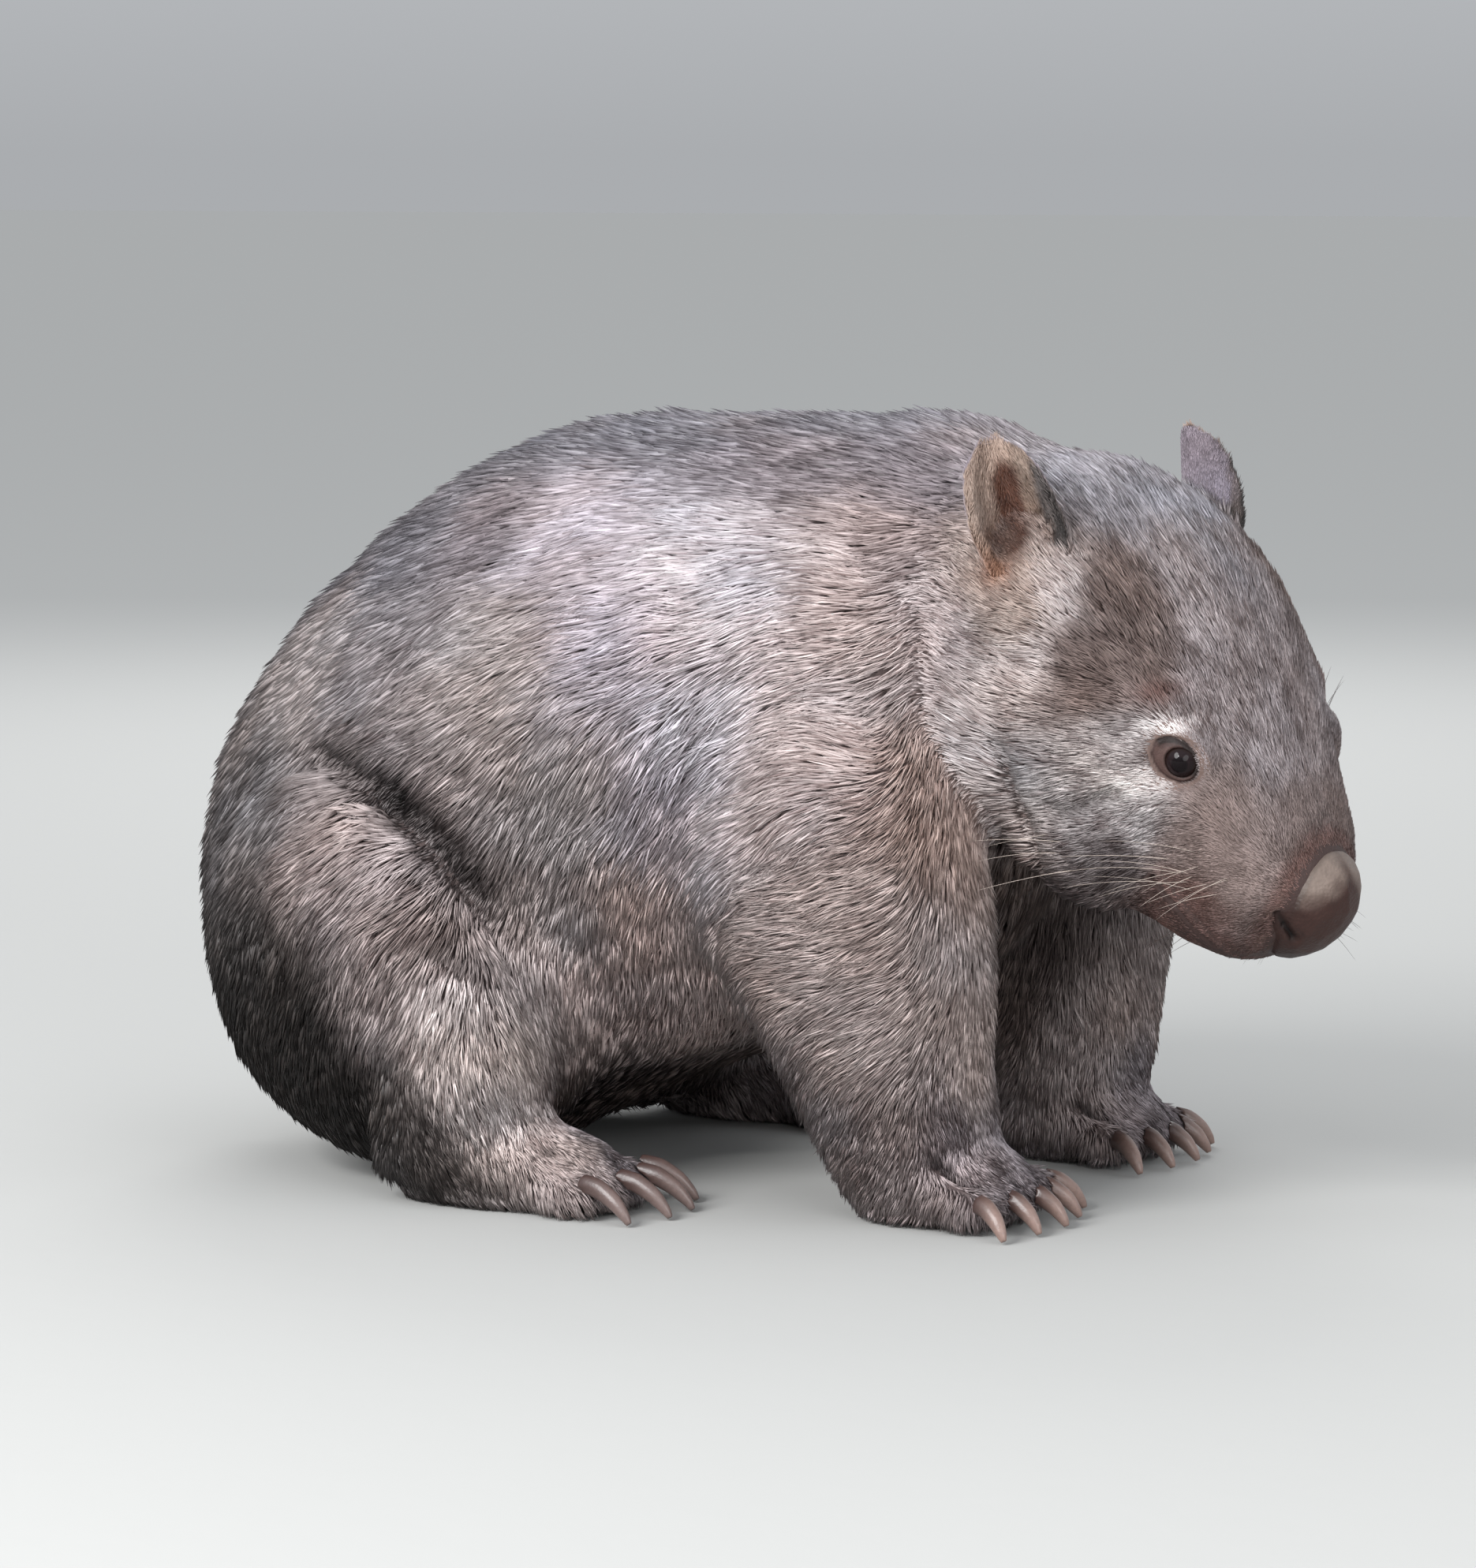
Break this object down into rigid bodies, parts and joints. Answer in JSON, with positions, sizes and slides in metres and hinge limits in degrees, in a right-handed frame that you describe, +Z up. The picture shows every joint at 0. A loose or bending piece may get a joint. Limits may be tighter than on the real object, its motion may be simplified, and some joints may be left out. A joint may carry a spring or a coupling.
{
  "type": "wombat figure",
  "caption": "Life-size still figure of a bare-nosed wombat sitting on its haunches, head turned and lowered, for display.",
  "frame": {"origin": "centre of the bounding box in plan, on the floor", "axes": "+X the way the body faces, +Y the animal's left, +Z up; the head turns 15 degrees to the animal's right of +X"},
  "size_m": [0.5732, 0.3522, 0.3544],
  "materials": {
    "coat": "short dense grey-brown fur, lying flat",
    "nose_skin": "bare leathery skin, faint sheen",
    "eye_brown": "wet gloss",
    "horn": "smooth worn horn"
  },
  "bodies": {
    "root": {"head": "coat", "neck": "coat", "torso": "coat", "tail": "coat", "ear_left": "coat", "ear_right": "coat", "foreleg_left": "coat", "foreleg_right": "coat", "forefoot_left": "coat", "forefoot_right": "coat", "thigh_left": "coat", "thigh_right": "coat", "shank_left": "coat", "shank_right": "coat", "hindfoot_left": "coat", "hindfoot_right": "coat", "nose": "nose_skin", "eye_left": "eye_brown", "eye_right": "eye_brown", "claw_fore_left_1": "horn", "claw_fore_left_2": "horn", "claw_fore_left_3": "horn", "claw_fore_left_4": "horn", "claw_fore_left_5": "horn", "claw_fore_right_1": "horn", "claw_fore_right_2": "horn", "claw_fore_right_3": "horn", "claw_fore_right_4": "horn", "claw_fore_right_5": "horn", "claw_hind_left_1": "horn", "claw_hind_left_2": "horn", "claw_hind_left_3": "horn", "claw_hind_left_4": "horn", "claw_hind_right_1": "horn", "claw_hind_right_2": "horn", "claw_hind_right_3": "horn", "claw_hind_right_4": "horn"}
  },
  "joints": []
}
